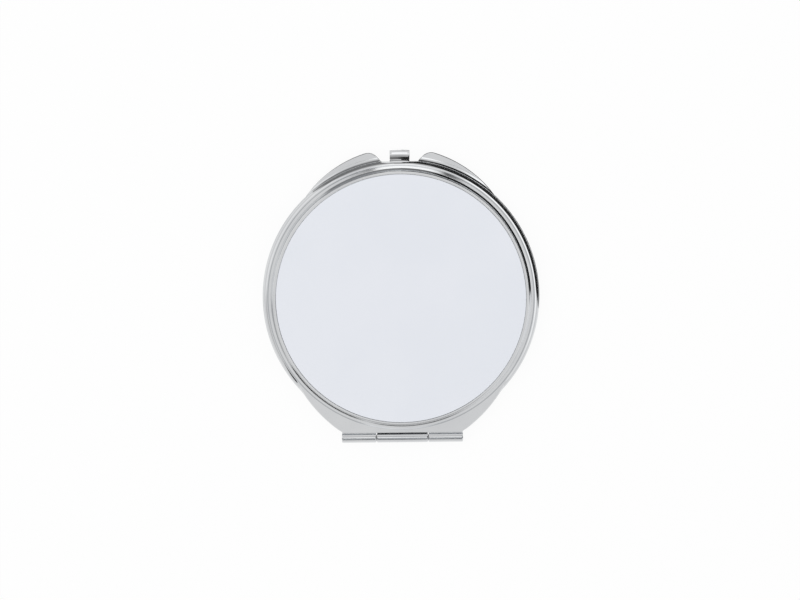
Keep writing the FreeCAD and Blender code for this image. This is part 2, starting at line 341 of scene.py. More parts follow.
@dataclass(frozen=True)
class PlatedChrome:
    """Bright chrome plate over stamped steel, with faint polishing lines and a breath of haze."""

    name: str
    tint: Colour = (0.715, 0.725, 0.735)
    shadow_tint: Colour = (0.665, 0.675, 0.69)
    roughness: float = 0.045
    haze: float = 0.05
    haze_scale: float = 95.0
    haze_detail: float = 4.0
    haze_range: tuple[float, float] = (0.45, 0.8)
    tone_range: tuple[float, float] = (0.3, 0.75)
    line_scale: Triple = (900.0, 9000.0, 900.0)
    line_detail: float = 3.0
    line_roughness: float = 0.02
    line_height: float = 0.15
    ripple_scale: float = 420.0
    ripple_detail: float = 1.0
    ripple_depth: float = 4e-6
    ripple_strength: float = 0.25

    def material(self) -> bpy.types.Material:
        """The finish as a material.

        Returns:
            The material.
        """
        material, graph = shade(self.name)
        place = graph.coordinates()
        haze = graph.noise(place, self.haze_scale, self.haze_detail)
        lines = graph.noise(graph.stretched(self.line_scale), 1.0, self.line_detail)
        ripple = graph.noise(place, self.ripple_scale, self.ripple_detail)
        veil = self.haze * haze.step(*self.haze_range)
        graph.principled(
            colour=graph.blend(haze.step(*self.tone_range), self.tint, self.shadow_tint),
            metal=1.0,
            roughness=self.roughness + veil + self.line_roughness * lines,
            normal=graph.bump(ripple + self.line_height * lines, self.ripple_depth, self.ripple_strength),
        )
        return material


@dataclass(frozen=True)
class CoatedWhite:
    """The insert's satin white print coat over aluminium."""

    name: str
    tint: Colour = (0.79, 0.812, 0.865)
    second_tint: Colour = (0.775, 0.80, 0.855)
    roughness: float = 0.34
    specular: float = 0.4
    cloud_scale: float = 60.0
    cloud_detail: float = 3.0
    cloud_range: tuple[float, float] = (0.35, 0.7)
    cloud_roughness: float = 0.08
    grain_scale: float = 5200.0
    grain_roughness: float = 0.05
    grain_depth: float = 6e-6
    grain_strength: float = 0.3

    def material(self) -> bpy.types.Material:
        """The finish as a material.

        Returns:
            The material.
        """
        material, graph = shade(self.name)
        place = graph.coordinates()
        clouds = graph.noise(place, self.cloud_scale, self.cloud_detail)
        grain = graph.noise(place, self.grain_scale)
        graph.principled(
            colour=graph.blend(clouds.step(*self.cloud_range), self.tint, self.second_tint),
            roughness=self.roughness + self.cloud_roughness * clouds + self.grain_roughness * grain,
            specular=self.specular,
            normal=graph.bump(grain, self.grain_depth, self.grain_strength),
        )
        return material


@dataclass(frozen=True)
class SilveredGlass:
    """A silvered mirror, with a trace of dust."""

    name: str
    tint: Colour = (0.90, 0.92, 0.915)
    dust_tint: Colour = (0.84, 0.86, 0.86)
    roughness: float = 0.008
    dust_scale: float = 1800.0
    dust_detail: float = 4.0
    dust_range: tuple[float, float] = (0.62, 0.8)
    dust_roughness: float = 0.05

    def material(self) -> bpy.types.Material:
        """The finish as a material.

        Returns:
            The material.
        """
        material, graph = shade(self.name)
        dust = graph.noise(graph.coordinates(), self.dust_scale, self.dust_detail).step(*self.dust_range)
        graph.principled(
            colour=graph.blend(dust, self.tint, self.dust_tint),
            metal=1.0,
            roughness=self.roughness + self.dust_roughness * dust,
        )
        return material


@dataclass(frozen=True)
class DrawnSteel:
    """Plain steel wire with drawing lines along its length."""

    name: str
    tint: Colour = (0.56, 0.56, 0.57)
    line_tint: Colour = (0.44, 0.44, 0.45)
    roughness: float = 0.28
    line_scale: Triple = (300.0, 14000.0, 14000.0)
    line_detail: float = 3.0
    line_roughness: float = 0.15
    line_depth: float = 8e-6
    line_strength: float = 0.4

    def material(self) -> bpy.types.Material:
        """The finish as a material.

        Returns:
            The material.
        """
        material, graph = shade(self.name)
        lines = graph.noise(graph.stretched(self.line_scale), 1.0, self.line_detail)
        graph.principled(
            colour=graph.blend(lines, self.tint, self.line_tint),
            metal=1.0,
            roughness=self.roughness + self.line_roughness * lines,
            normal=graph.bump(lines, self.line_depth, self.line_strength),
        )
        return material


@dataclass(frozen=True)
class AdhesiveFoam:
    """Off-white closed-cell foam."""

    name: str
    tint: Colour = (0.80, 0.79, 0.76)
    cell_tint: Colour = (0.66, 0.65, 0.62)
    cell_scale: float = 2600.0
    cell_range: tuple[float, float] = (0.2, 0.7)
    roughness: float = 0.82
    cell_roughness: float = 0.15
    cell_depth: float = 6e-5
    cell_strength: float = 0.6

    def material(self) -> bpy.types.Material:
        """The finish as a material.

        Returns:
            The material.
        """
        material, graph = shade(self.name)
        place = graph.coordinates()
        cells = graph.node("ShaderNodeTexVoronoi", None, {"Vector": place, "Scale": self.cell_scale})
        graph.principled(
            colour=graph.blend(cells.step(*self.cell_range), self.cell_tint, self.tint),
            roughness=self.roughness + self.cell_roughness * cells,
            normal=graph.bump(cells, self.cell_depth, self.cell_strength),
        )
        return material


@dataclass(frozen=True)
class AdhesiveFilm:
    """Thin waxy adhesive film."""

    name: str
    tint: Colour = (0.82, 0.80, 0.73)
    streak_tint: Colour = (0.74, 0.72, 0.64)
    streak_scale: Triple = (80.0, 900.0, 80.0)
    streak_detail: float = 3.0
    roughness: float = 0.5
    streak_roughness: float = 0.2
    streak_depth: float = 1e-5
    streak_strength: float = 0.4

    def material(self) -> bpy.types.Material:
        """The finish as a material.

        Returns:
            The material.
        """
        material, graph = shade(self.name)
        streaks = graph.noise(graph.stretched(self.streak_scale), 1.0, self.streak_detail)
        graph.principled(
            colour=graph.blend(streaks, self.tint, self.streak_tint),
            roughness=self.roughness + self.streak_roughness * streaks,
            normal=graph.bump(streaks, self.streak_depth, self.streak_strength),
        )
        return material


@dataclass(frozen=True)
class Arc:
    """A stretch of a plan: a centre, a radius, a start angle, a sweep and its number of steps."""

    centre: Vector
    radius: float
    start: float
    sweep: float
    steps: int

    @classmethod
    def between(cls, centre: Vector, first: Vector, last: Vector, steps: int) -> "Arc":
        """The shorter arc about a centre from one point to another.

        Args:
            centre: the centre.
            first: where it starts.
            last: a point in the direction where it ends.
            steps: how many edges it has.

        Returns:
            The arc.
        """
        lead = first - centre
        tail = last - centre
        start = math.atan2(lead.y, lead.x)
        turn = math.atan2(tail.y, tail.x) - start
        sweep = (turn + math.pi) % math.tau - math.pi
        return cls(centre, lead.length, start, sweep, steps)

    def at(self, share: float) -> Vector:
        """The point at a share of the sweep."""
        angle = self.start + share * self.sweep
        return self.centre + self.radius * Vector((math.cos(angle), math.sin(angle), 0.0))

    def mirrored(self) -> "Arc":
        """The same arc on the other side of the middle plane, drawn the same way round."""
        centre = Vector((-self.centre.x, self.centre.y, 0.0))
        return Arc(centre, self.radius, math.pi - self.start - self.sweep, self.sweep, self.steps)


@dataclass(frozen=True)
class Corner:
    """A corner of a drawn line, with the radius that rounds it."""

    across: float
    up: float
    radius: float = 0.0
    steps: int = 6


class Pen:
    """Draws a wire into a mesh: a vertex that is extruded along lines and spun round arcs."""

    def __init__(self, mesh: bmesh.types.BMesh, plane: Plane, start: Vector) -> None:
        """Sets the pen down.

        Args:
            mesh: the mesh to draw into.
            plane: the plane that it draws in.
            start: where it starts.
        """
        self.mesh = mesh
        self.plane = plane
        self.known = set(mesh.edges)
        self.first = bmesh.ops.create_vert(mesh, co=start)["vert"][0]
        self.tip = self.first

    def line(self, to: Vector) -> None:
        """A straight edge to a point, unless the pen is there already.

        Args:
            to: the point.
        """
        if (to - self.tip.co).length < WELD:
            return
        made = bmesh.ops.extrude_vert_indiv(self.mesh, verts=[self.tip])
        self.tip = made["verts"][0]
        self.tip.co = to

    def spin(self, centre: Vector, sweep: float, steps: int) -> None:
        """An arc about a centre.

        Args:
            centre: the centre.
            sweep: its signed sweep.
            steps: how many edges it has.
        """
        made = bmesh.ops.spin(
            self.mesh, geom=[self.tip], cent=centre, axis=self.plane.normal, angle=sweep, steps=steps,
        )
        self.tip = next(item for item in made["geom_last"] if isinstance(item, bmesh.types.BMVert))

    def arcs(self, stretches: Iterable[Arc], level: float) -> None:
        """A closed plan of arcs joined by straight lines.

        Args:
            stretches: the arcs in order.
            level: the plan's height.
        """
        rise = Vector((0.0, 0.0, level))
        for arc in stretches:
            self.line(arc.at(0.0) + rise)
            self.spin(arc.centre + rise, arc.sweep, arc.steps)
        if (self.tip.co - self.first.co).length > WELD:
            self.mesh.edges.new((self.tip, self.first))

    def corners(self, path: Sequence[Corner]) -> None:
        """A line through corners, each rounded by its own radius.

        Args:
            path: the corners, of which the first is the pen's start.
        """
        points = [self.plane.point(corner.across, corner.up) for corner in path]
        for index in range(1, len(path) - 1):
            self.round_corner(points[index - 1], points[index], points[index + 1], path[index])
        self.line(points[-1])

    def round_corner(self, before: Vector, here: Vector, after: Vector, corner: Corner) -> None:
        """Draws up to one corner and round it.

        Args:
            before: the corner before.
            here: the corner.
            after: the corner after.
            corner: its radius and steps.
        """
        back = (before - here).normalized()
        ahead = (after - here).normalized()
        half = back.angle(ahead) / 2
        if corner.radius == 0.0 or half > math.pi / 2 - WELD:
            self.line(here)
            return
        reach = corner.radius / math.tan(half)
        centre = here + (back + ahead).normalized() * corner.radius / math.sin(half)
        side = 1.0 if back.cross(ahead).dot(self.plane.normal) < 0 else -1.0
        self.line(here + back * reach)
        self.spin(centre, side * (math.pi - 2 * half), corner.steps)

    @property
    def edges(self) -> list[bmesh.types.BMEdge]:
        """The edges that this pen has drawn."""
        return [edge for edge in self.mesh.edges if edge not in self.known]

    def revolve(self, axis: Sequence[float], steps: int) -> None:
        """Spins what the pen has drawn once round an axis through the origin.

        Args:
            axis: the axis.
            steps: how many steps the turn has.
        """
        wire = self.edges
        bmesh.ops.spin(
            self.mesh, geom=points_of(wire) + wire, cent=(0, 0, 0), axis=axis, angle=math.tau, steps=steps,
            use_merge=True,
        )


def points_of(edges: Iterable[bmesh.types.BMEdge]) -> list[bmesh.types.BMVert]:
    """The vertices of some edges, each once and in order."""
    return list(dict.fromkeys(vert for edge in edges for vert in edge.verts))


def circle_meeting(first: Vector, first_reach: float, second: Vector, second_reach: float) -> Vector:
    """The point at given distances from two centres, to the right of the way from the first to the second.

    Args:
        first: the first centre.
        first_reach: the distance from it.
        second: the second centre.
        second_reach: the distance from that.

    Returns:
        The point.
    """
    way = second - first
    along = (way.length_squared + first_reach ** 2 - second_reach ** 2) / (2 * way.length)
    aside = math.sqrt(first_reach ** 2 - along ** 2)
    ahead = way.normalized()
    return first + along * ahead + aside * Vector((ahead.y, -ahead.x, 0.0))


@dataclass(frozen=True)
class PanOutline:
    """Plan of a pan: a round rim that flares to the hinge, cut flat at the hinge and the latch.

    The rim's rounding is tighter along the flares and the rear edge, and half as wide at the latch.
    """

    rim: float
    flare: float
    rear: float
    front: float
    flare_centre: tuple[float, float] = (-4.27, -5.4)
    kink_blend: float = 12.0
    rear_corner: float = 0.6
    front_corner: float = 5.0
    flare_share: float = 0.15
    front_share: float = 0.5
    least_corner: float = 0.05
    least_flat: float = 0.02
    corner_steps: int = 8
    flare_steps: int = 26
    kink_steps: int = 8
    rim_steps: int = 84

    def right_side(self, inset: float) -> list[Arc]:
        """The arcs of the right side from the hinge to the latch, drawn in by an inset.

        Args:
            inset: the distance.

        Returns:
            The arcs in order.
        """
        middle = Vector((0.0, 0.0, 0.0))
        flare_centre = Vector((*self.flare_centre, 0.0))
        rim = self.rim - inset
        flare_inset = inset * self.flare_share
        flare = self.flare - flare_inset
        blend = self.kink_blend + inset
        rear_round = max(self.rear_corner - flare_inset, self.least_corner)
        front_round = self.front_corner - inset

        low = self.rear - flare_inset - rear_round
        beside = math.sqrt((flare - rear_round) ** 2 - (low + flare_centre.y) ** 2)
        rear_centre = Vector((flare_centre.x + beside, -low, 0.0))
        kink_centre = circle_meeting(flare_centre, flare + blend, middle, rim + blend)
        high = min(self.front - inset * self.front_share, rim - self.least_flat) - front_round
        front_centre = Vector((math.sqrt((rim - front_round) ** 2 - high ** 2), high, 0.0))

        rear_start = rear_centre - Vector((0.0, rear_round, 0.0))
        flare_start = flare_centre + (rear_centre - flare_centre).normalized() * flare
        kink_start = flare_centre + (kink_centre - flare_centre).normalized() * flare
        rim_start = kink_centre.normalized() * rim
        front_start = front_centre.normalized() * rim
        front_end = front_centre + Vector((0.0, front_round, 0.0))
        return [
            Arc.between(rear_centre, rear_start, flare_start, self.corner_steps),
            Arc.between(flare_centre, flare_start, kink_start, self.flare_steps),
            Arc.between(kink_centre, kink_start, rim_start, self.kink_steps),
            Arc.between(middle, rim_start, front_start, self.rim_steps),
            Arc.between(front_centre, front_start, front_end, self.corner_steps),
        ]

    def draw(self, mesh: bmesh.types.BMesh, inset: float, level: float) -> list[bmesh.types.BMEdge]:
        """Draws the outline as a closed wire.

        Args:
            mesh: the mesh to draw into.
            inset: how far it is drawn in all round.
            level: its height.

        Returns:
            Its edges.
        """
        right = self.right_side(inset)
        whole = right + [arc.mirrored() for arc in reversed(right)]
        pen = Pen(mesh, Plane.PLAN, whole[0].at(0.0) + Vector((0.0, 0.0, level)))
        pen.arcs(whole, level)
        return pen.edges


def turned(
    mesh: bmesh.types.BMesh, path: Sequence[Corner], steps: int,
) -> tuple[list[bmesh.types.BMEdge], list[bmesh.types.BMEdge]]:
    """Spins a rounded section, across being the radius, once round the body's axis.

    Args:
        mesh: the mesh to draw into.
        path: the section's corners.
        steps: how many steps the turn has.

    Returns:
        The rings of edges at the section's start and at its end, each empty if it lies on the axis.
    """
    known = set(mesh.edges)
    pen = Pen(mesh, Plane.SECTION, Plane.SECTION.point(path[0].across, path[0].up))
    pen.corners(path)
    pen.revolve((0, 0, 1), steps)
    rings = []
    for corner in (path[0], path[-1]):
        rings.append([
            edge for edge in mesh.edges if edge.is_boundary and edge not in known and all(
                abs(vert.co.z - corner.up) < RING_REACH
                and abs(math.hypot(vert.co.x, vert.co.y) - corner.across) < RING_REACH
                for vert in edge.verts
            )
        ])
    return rings[0], rings[1]


def bridged(mesh: bmesh.types.BMesh, loops: Sequence[list[bmesh.types.BMEdge]]) -> None:
    """Joins neighbouring loops by strips of faces."""
    for first, second in zip(loops, loops[1:]):
        bmesh.ops.bridge_loops(mesh, edges=first + second)


def lofted(
    mesh: bmesh.types.BMesh, outline: PanOutline, profile: Sequence[tuple[float, float]],
) -> list[list[bmesh.types.BMEdge]]:
    """Draws an outline once for each step of a profile and joins the loops by strips of faces.

    The loops are joined while they stand apart, and then drop to their levels, so that two loops at one
    level join point by point as the others do.

    Args:
        mesh: the mesh to draw into.
        outline: the outline.
        profile: the inset and the level of each loop.

    Returns:
        The loops' edges.
    """
    loops = []
    for number, (inset, level) in enumerate(profile):
        loops.append(outline.draw(mesh, inset, level + number * LOFT_GAP))
    bridged(mesh, loops)
    for number, loop in enumerate(loops):
        bmesh.ops.translate(mesh, vec=(0.0, 0.0, -number * LOFT_GAP), verts=points_of(loop))
    return loops


def filled(mesh: bmesh.types.BMesh, edges: list[bmesh.types.BMEdge]) -> None:
    """Fills the flat stretch that closed wires enclose."""
    bmesh.ops.triangle_fill(mesh, use_beauty=True, use_dissolve=False, edges=edges)


def closed(mesh: bmesh.types.BMesh) -> None:
    """Merges doubles and turns every face outwards.

    Args:
        mesh: the mesh.
    """
    bmesh.ops.remove_doubles(mesh, verts=mesh.verts[:], dist=WELD)
    bmesh.ops.dissolve_degenerate(mesh, dist=WELD / 10, edges=mesh.edges[:])
    bmesh.ops.recalc_face_normals(mesh, faces=mesh.faces[:])


def linked(mesh: bmesh.types.BMesh, name: str, finish: bpy.types.Material) -> bpy.types.Object:
    """Makes a drawn mesh an object of the scene.

    Args:
        mesh: the drawn mesh, in metres; it is freed.
        name: the object's name.
        finish: its material.

    Returns:
        The object.
    """
    data = bpy.data.meshes.new(name)
    mesh.to_mesh(data)
    mesh.free()
    data.materials.append(finish)
    made = bpy.data.objects.new(name, data)
    bpy.context.scene.collection.objects.link(made)
    return made


def as_piece(
    mesh: bmesh.types.BMesh,
    name: str,
    finish: bpy.types.Material,
    nodes: Sequence[str],
    body: Optional[Body] = None,
) -> bpy.types.Object:
    """Makes a drawn mesh a piece that stands for CAD nodes.

    Args:
        mesh: the drawn mesh, in millimetres; it is freed.
        name: the piece's name.
        finish: its material.
        nodes: the nodes that it stands for.
        body: the body that it rides on, or nothing to leave it unattached.

    Returns:
        The piece.
    """
    closed(mesh)
    bmesh.ops.scale(mesh, vec=(MM, MM, MM), verts=mesh.verts[:])
    for face in mesh.faces:
        face.smooth = True
    piece = linked(mesh, name, finish)
    piece.data.set_sharp_from_angle(angle=SHARP_ANGLE)
    piece.modifiers.new("even_normals", "WEIGHTED_NORMAL").keep_sharp = True
    if body is not None:
        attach(piece, body.value)
    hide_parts(*nodes)
    log.info("%s: %d faces", name, len(piece.data.polygons))
    return piece


@dataclass
class Half:
    """Where a half of the case lies: its body, its side of the parting plane, its rim and rim's burr."""

    body: Body
    parting: float
    up: bool
    rim_inset: float
    burr: float

    def place(self, mesh: bmesh.types.BMesh) -> bmesh.types.BMesh:
        """Moves a mesh drawn from the parting plane to its place in the closed case.

        Args:
            mesh: the drawn mesh.

        Returns:
            The same mesh.
        """
        if not self.up:
            bmesh.ops.scale(mesh, vec=(1.0, 1.0, -1.0), verts=mesh.verts[:])
        bmesh.ops.translate(mesh, vec=(0.0, 0.0, self.parting), verts=mesh.verts[:])
        return mesh


@dataclass
class Case:
    """The two stamped pans, the base's ears and the frames that close the pans."""

    chrome: bpy.types.Material
    outline: PanOutline
    insert_radius: float
    half_height: float = 3.1
    sheet: float = 0.4
    flange: float = 1.3
    rim_edge: float = 0.45
    edge_rounding: float = 0.75
    edge_reach: float = 1.08
    edge_turn: float = math.radians(80.0)
    edge_steps: int = 18
    burr_steps: int = 6
    level_margin: float = 0.02
    crease: float = 31.0
    groove_half: float = 0.13
    groove_depth: float = 0.13
    foot: float = 30.34
    foot_rise: float = 0.046
    foot_rounding: float = 0.06
    wall_top: float = 29.84
    crest_drop: float = 0.02
    crest_rounding: float = 0.2
    crest_steps: int = 12
    seat_gap: float = 0.15
    seat_depth: float = 0.6
    seat_rounding: float = 0.05
    lip_rounding: float = 0.08
    hollow_rounding: float = 0.2
    hollow_steps: int = 4
    small_steps: int = 3
    turn_steps: int = 300
    frame_thickness: float = 0.35
    frame_inset: float = 0.05
    frame_rounding: float = 0.1
    frame_steps: int = 4
    window: float = 27.6
    window_bevel: float = 0.2
    window_rounding: float = 0.04
    rear_lap: float = 0.45

    def rim(self, inset: float, lap: float) -> PanOutline:
        """The outline of a half whose round parts are smaller by an inset, and which laps to the hinge."""
        base = self.outline
        return PanOutline(base.rim - inset, base.flare - inset, base.rear + lap, base.front)

    def edge_profile(self, burr: float) -> list[tuple[float, float]]:
        """Inset and level of each loop of a pan's rim.

        Args:
            burr: the rounding of its free edge.

        Returns:
            The loops, from the inside over the edge to the flange's flat.
        """
        loops = [(self.sheet, self.flange - self.sheet), (self.sheet, self.rim_edge)]
        for step in range(self.burr_steps + 1):
            turn = step / self.burr_steps * math.pi / 2
            loops.append((burr * (1 - math.sin(turn)), self.rim_edge + burr * (1 - math.cos(turn))))
        spring = max(self.flange - self.edge_rounding, self.rim_edge + burr)
        rise = (self.flange - spring) / math.sin(self.edge_turn)
        first = 0 if spring > self.rim_edge + burr + WELD else 1
        for step in range(first, self.edge_steps + 1):
            turn = step / self.edge_steps * self.edge_turn
            loops.append((self.edge_reach * (1 - math.cos(turn)), spring + rise * math.sin(turn)))
        loops.append((loops[-1][0] + self.level_margin, self.flange))
        return loops

    def drum_section(self, flat_top: bool) -> list[Corner]:
        """The outer section of the drum, from the flange's flat to the axis.

        Args:
            flat_top: whether the drum is closed flat, or has a seat for the insert.

        Returns:
            The section's corners.
        """
        inner = self.crease - self.groove_half
        beside = self.foot + 2 * self.foot_rounding
        crest = self.half_height - self.crest_drop
        section = [
            Corner(self.crease + self.groove_half + self.level_margin, self.flange),
            Corner(self.crease + self.groove_half, self.flange),
            Corner(self.crease, self.flange - self.groove_depth),
            Corner(inner, self.flange),
            Corner(beside, self.flange + self.foot_rise * (inner - beside) / (inner - self.foot)),
            Corner(self.foot, self.flange + self.foot_rise, self.foot_rounding),
            Corner(self.wall_top, crest, self.crest_rounding, self.crest_steps),
        ]
        if flat_top:
            flat_edge = Corner(self.insert_radius, self.half_height)
            return section + [flat_edge, Corner(0.0, self.half_height)]
        seat = self.insert_radius + self.seat_gap
        floor = self.half_height - self.seat_depth
        return section + [
            Corner(seat, self.half_height, self.lip_rounding),
            Corner(seat, floor, self.seat_rounding, self.small_steps),
            Corner(0.0, floor),
        ]

    def hollow_section(self, flat_top: bool) -> list[Corner]:
        """The inner section of the drum, one sheet inside the outer one.

        Args:
            flat_top: whether the drum is closed flat.

        Returns:
            The section's corners.
        """
        inside = self.flange - self.sheet
        ceiling = self.half_height - self.sheet
        if not flat_top:
            ceiling -= self.seat_depth
        return [
            Corner(self.crease - self.sheet, inside),
            Corner(self.foot - self.sheet, inside + self.foot_rise),
            Corner(self.wall_top - self.sheet, ceiling, self.hollow_rounding, self.hollow_steps),
            Corner(0.0, ceiling),
        ]

    def pan(self, half: Half, flat_top: bool) -> bmesh.types.BMesh:
        """A stamped pan: rounded rim, flange, grooved crease, sloped shoulder and drum.

        Args:
            half: the half that it belongs to.
            flat_top: whether its drum is closed flat.

        Returns:
            The mesh, drawn from the parting plane.
        """
        mesh = bmesh.new()
        outline = self.rim(half.rim_inset, self.rear_lap)
        loops = lofted(mesh, outline, self.edge_profile(half.burr))
        crease, _ = turned(mesh, self.drum_section(flat_top), self.turn_steps)
        hollow, _ = turned(mesh, self.hollow_section(flat_top), self.turn_steps)
        filled(mesh, loops[-1] + crease)
        filled(mesh, loops[0] + hollow)
        return mesh

    def frame_plate(self, half: Half) -> bmesh.types.BMesh:
        """The plate that closes a half, with rounded edges and a bevelled round window.

        Args:
            half: the half that it belongs to.

        Returns:
            The mesh, drawn from the parting plane.
        """
        mesh = bmesh.new()
        outline = self.rim(half.rim_inset, 0.0)
        low = self.rim_edge - self.frame_thickness
        rounding = self.frame_rounding
        profile = [(self.frame_inset, self.rim_edge)]
        for step in range(self.frame_steps + 1):
            turn = step / self.frame_steps * math.pi / 2
            drawn_in = self.frame_inset + rounding * (1 - math.cos(turn))
            profile.append((drawn_in, low + rounding * (1 - math.sin(turn))))
        profile.append((self.frame_inset + rounding + self.level_margin, low))
        loops = lofted(mesh, outline, profile)
        bevel = self.window_bevel
        facing, backing = turned(mesh, [
            Corner(self.window + bevel + 2 * self.level_margin, low),
            Corner(self.window + bevel, low, self.window_rounding, self.small_steps),
            Corner(self.window, low + bevel, self.window_rounding, self.small_steps),
            Corner(self.window, self.rim_edge),
        ], self.turn_steps)
        filled(mesh, loops[-1] + facing)
        filled(mesh, loops[0] + backing)
        return mesh

    def build(self, lid: Half, base: Half, ears: "Ears") -> None:
        """Makes the pans and frames of both halves.

        Args:
            lid: the upper half.
            base: the lower half.
            ears: the base's thumb tabs.
        """
        as_piece(
            lid.place(self.pan(lid, flat_top=False)),
            "lid_pan", self.chrome, ["lid_shell"], lid.body,
        )
        lower = self.pan(base, flat_top=True)
        ears.add(lower)
        as_piece(base.place(lower), "base_pan", self.chrome, ["base_shell"], base.body)
        for half in (lid, base):
            as_piece(
                half.place(self.frame_plate(half)),
                f"{half.body.value}_frame", self.chrome,
                [f"{half.body.value}_mirror_frame"], half.body,
            )


@dataclass
class Ears:
    """The base's two thumb tabs: a circle that passes the rim at the front, with a gap for the latch."""

    rim: float
    front: float
    flange: float
    sheet: float
    rim_edge: float
    radius: float = 27.15
    centre: float = 7.7
    notch_half: float = 4.2
    notch_side: float = math.radians(45.0)
    corner: float = 2.8
    corner_steps: int = 12
    edge: float = 0.18
    edge_steps: int = 4
    support: float = 0.06
    sunk: float = 0.1
    skin: float = 0.01
    root: float = 0.25
    sweep_reach: float = 1.1
    sweep_steps: int = 12
    arc_steps: int = 60
    notch_steps: int = 10

    def free_edge(self) -> list[Arc]:
        """The right ear's free edge in plan, from the rim to the notch.

        Returns:
            The arcs: the ear's circle and its corner.
        """
        middle = Vector((0.0, self.centre, 0.0))
        direction = Vector((math.sin(self.notch_side), math.cos(self.notch_side), 0.0))
        into_ear = Vector((direction.y, -direction.x, 0.0))
        start = Vector((self.notch_half, self.front, 0.0)) + into_ear * self.corner
        reach = self.radius - self.corner
        offset = start - middle
        along = -offset.dot(direction)
        along += math.sqrt(along ** 2 - offset.length_squared + reach ** 2)
        corner_centre = start + direction * along
        meet = circle_meeting(Vector((0.0, 0.0, 0.0)), self.rim - self.sunk, middle, self.radius)
        corner_start = middle + (corner_centre - middle).normalized() * self.radius
        corner_end = corner_centre - into_ear * self.corner
        return [
            Arc.between(middle, meet, corner_start, self.arc_steps),
            Arc.between(corner_centre, corner_start, corner_end, self.corner_steps),
        ]

    def face_level(self, radius: float) -> float:
        """The level of the tab's face, which sweeps up to the rim's edge.

        Args:
            radius: the distance from the axis.

        Returns:
            The level.
        """
        into = min(max((radius - self.rim) / self.sweep_reach, 0.0), 1.0)
        low = self.flange - self.sheet
        return self.rim_edge + (low - self.rim_edge) * math.sqrt(1 - (1 - into) ** 2)

    def stations(self, reach: float) -> list[tuple[float, float]]:
        """Radius and level of each station round the tab's section.

        Args:
            reach: how far the free edge is from the axis.

        Returns:
            The stations, from the middle of the free edge under the tab, through the rim and over its face.
        """
        back = self.flange - self.skin
        brim = reach - self.edge
        found = []
        for step in range(self.edge_steps + 1):
            turn = step / self.edge_steps * math.pi / 2
            found.append((brim + self.edge * math.cos(turn), back - self.edge * (1 - math.sin(turn))))
        found.append((brim - self.support, back))
        found.append((min(self.rim - self.sheet - self.root, brim - self.support), back))
        found.append((min(self.rim - self.root, brim), back - self.root))
        found.append((min(self.rim - self.root, brim), self.rim_edge + self.skin))
        for step in range(self.sweep_steps + 1):
            turn = step / self.sweep_steps * math.pi / 2
            radius = min(self.rim + self.sweep_reach * (1 - math.cos(turn)), brim - self.support)
            found.append((radius, self.face_level(radius)))
        found.append((brim - self.support, self.face_level(brim - self.support)))
        face = self.face_level(brim)
        for step in range(self.edge_steps + 1):
            turn = step / self.edge_steps * math.pi / 2
            found.append((brim + self.edge * math.sin(turn), face + self.edge * (1 - math.cos(turn))))
        return found

    def add(self, mesh: bmesh.types.BMesh) -> None:
        """Adds both tabs to the base's pan.

        Args:
            mesh: the pan, drawn from the parting plane.
        """
        reach = mesh.verts.layers.float.new("reach")
        known = set(mesh.verts)
        edge = self.free_edge()
        pen = Pen(mesh, Plane.PLAN, edge[0].at(0.0))
        for arc in edge:
            pen.line(arc.at(0.0))
            pen.spin(arc.centre, arc.sweep, arc.steps)
        last = pen.tip.co.copy()
        foot = Vector((self.notch_half, self.front, 0.0))
        for step in range(1, self.notch_steps + 1):
            pen.line(last.lerp(foot, step / self.notch_steps))
        wire = pen.edges
        row = points_of(wire)
        for vert in row:
            vert[reach] = vert.co.length
        count = len(self.stations(self.rim))
        for index in range(count + 1):
            if index:
                grown = bmesh.ops.extrude_edge_only(mesh, edges=wire)["geom"]
                wire = [item for item in grown if isinstance(item, bmesh.types.BMEdge)]
                row = [item for item in grown if isinstance(item, bmesh.types.BMVert)]
            for vert in row:
                radius, level = self.stations(vert[reach])[index % count]
                flat = Vector((vert.co.x, vert.co.y, 0.0)).normalized() * radius
                vert.co = (flat.x, flat.y, level)
        made = [vert for vert in mesh.verts if vert not in known]
        bmesh.ops.remove_doubles(mesh, verts=made, dist=WELD)
        edges = [part for part in mesh.edges if known.isdisjoint(part.verts)]
        open_edges = [part for part in edges if part.is_boundary]
        bmesh.ops.holes_fill(mesh, edges=open_edges, sides=0)
        tab = [vert for vert in mesh.verts if vert not in known]
        tab += [part for part in mesh.edges if known.isdisjoint(part.verts)]
        tab += [face for face in mesh.faces if known.isdisjoint(face.verts)]
        bmesh.ops.mirror(mesh, geom=tab, axis="X", merge_dist=-1.0)


